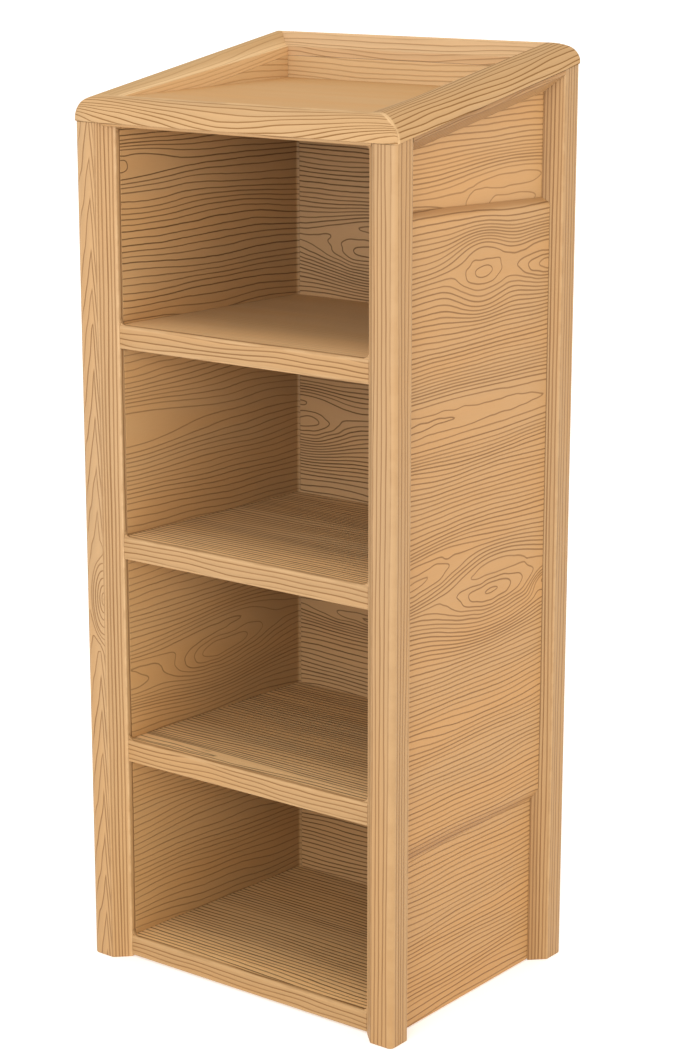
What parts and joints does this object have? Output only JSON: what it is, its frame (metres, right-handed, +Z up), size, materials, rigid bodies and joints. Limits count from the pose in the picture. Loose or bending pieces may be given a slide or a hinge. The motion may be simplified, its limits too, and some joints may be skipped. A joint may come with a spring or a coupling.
{
  "type": "open book tower",
  "caption": "Open-fronted wooden book tower with chamfered corner posts, stacked open compartments, panelled sides and a tray top whose rim rises toward the back.",
  "frame": {"origin": "centre of the footprint on the floor: the middle of the bounding box's bottom", "axes": "+X toward the tower's right as seen from the open front, +Y toward its back, +Z up"},
  "size_m": [0.462, 0.357, 1.1133],
  "materials": {
    "frame_wood": "satin clear-lacquered tan hardwood with dark straight and arched grain",
    "panel_wood": "satin clear-lacquered tan hardwood panel, slightly browner than the frame",
    "joinery_wood": "plain sanded hardwood, not lacquered",
    "screw_steel": "zinc-plated steel"
  },
  "bodies": {
    "root": {"post_front_left": "frame_wood", "post_front_right": "frame_wood", "post_rear_left": "frame_wood", "post_rear_right": "frame_wood", "case_side_left": "panel_wood", "case_side_right": "panel_wood", "side_rail_left": "frame_wood", "side_rail_right": "frame_wood", "side_panel_left": "panel_wood", "side_panel_right": "panel_wood", "raised_panel_left": "panel_wood", "raised_panel_right": "panel_wood", "back_panel": "panel_wood", "base_nosing": "frame_wood", "lower_nosing": "frame_wood", "middle_nosing": "frame_wood", "upper_nosing": "frame_wood", "base_shelf": "panel_wood", "lower_shelf": "panel_wood", "middle_shelf": "panel_wood", "upper_shelf": "panel_wood", "header_rail": "frame_wood", "rim_front": "frame_wood", "rim_back": "frame_wood", "rim_left": "frame_wood", "rim_right": "frame_wood", "tray_floor": "panel_wood", "tray_cleat_left": "joinery_wood", "tray_cleat_right": "joinery_wood", "tray_cleat_back": "joinery_wood", "dowel_front_left": "joinery_wood", "dowel_front_right": "joinery_wood", "dowel_rear_left": "joinery_wood", "dowel_rear_right": "joinery_wood", "spline_front_left": "joinery_wood", "spline_front_right": "joinery_wood", "spline_back_left": "joinery_wood", "spline_back_right": "joinery_wood", "back_screw_left_1": "screw_steel", "back_screw_left_2": "screw_steel", "back_screw_left_3": "screw_steel", "back_screw_left_4": "screw_steel", "back_screw_right_1": "screw_steel", "back_screw_right_2": "screw_steel", "back_screw_right_3": "screw_steel", "back_screw_right_4": "screw_steel"}
  },
  "joints": []
}
